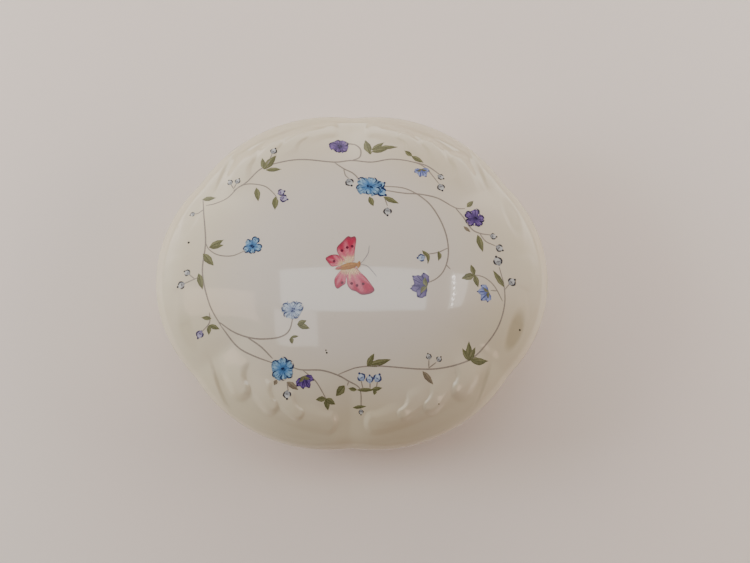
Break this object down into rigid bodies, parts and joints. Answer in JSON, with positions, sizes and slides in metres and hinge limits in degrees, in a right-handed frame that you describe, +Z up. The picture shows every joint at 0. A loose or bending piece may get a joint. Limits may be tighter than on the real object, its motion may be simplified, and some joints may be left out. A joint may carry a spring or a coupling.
{
  "type": "porcelain trinket box",
  "caption": "Low lobed oval porcelain box with a domed lift-off lid, relief scrolls round the rim and a printed ring of vines, small flowers and a butterfly.",
  "frame": {"origin": "on the table, under the middle of the box", "axes": "+X along the width, to the right as seen from the front; +Y from the front to the back; +Z up, the way the lid lifts off"},
  "size_m": [0.1, 0.0876, 0.042],
  "materials": {
    "base_porcelain": "glossy clear glaze over off-white porcelain, foot and seat unglazed",
    "lid_porcelain": "glossy clear glaze over off-white porcelain, creamier towards the rim, with fired printed decoration"
  },
  "bodies": {
    "base": {"base": "base_porcelain"},
    "lid": {"lid": "lid_porcelain"}
  },
  "joints": [
    {"name": "lid_lift", "type": "slide", "parent": "base", "child": "lid", "axis": [0, 0, 1], "range_m": [0, 0.06]}
  ]
}
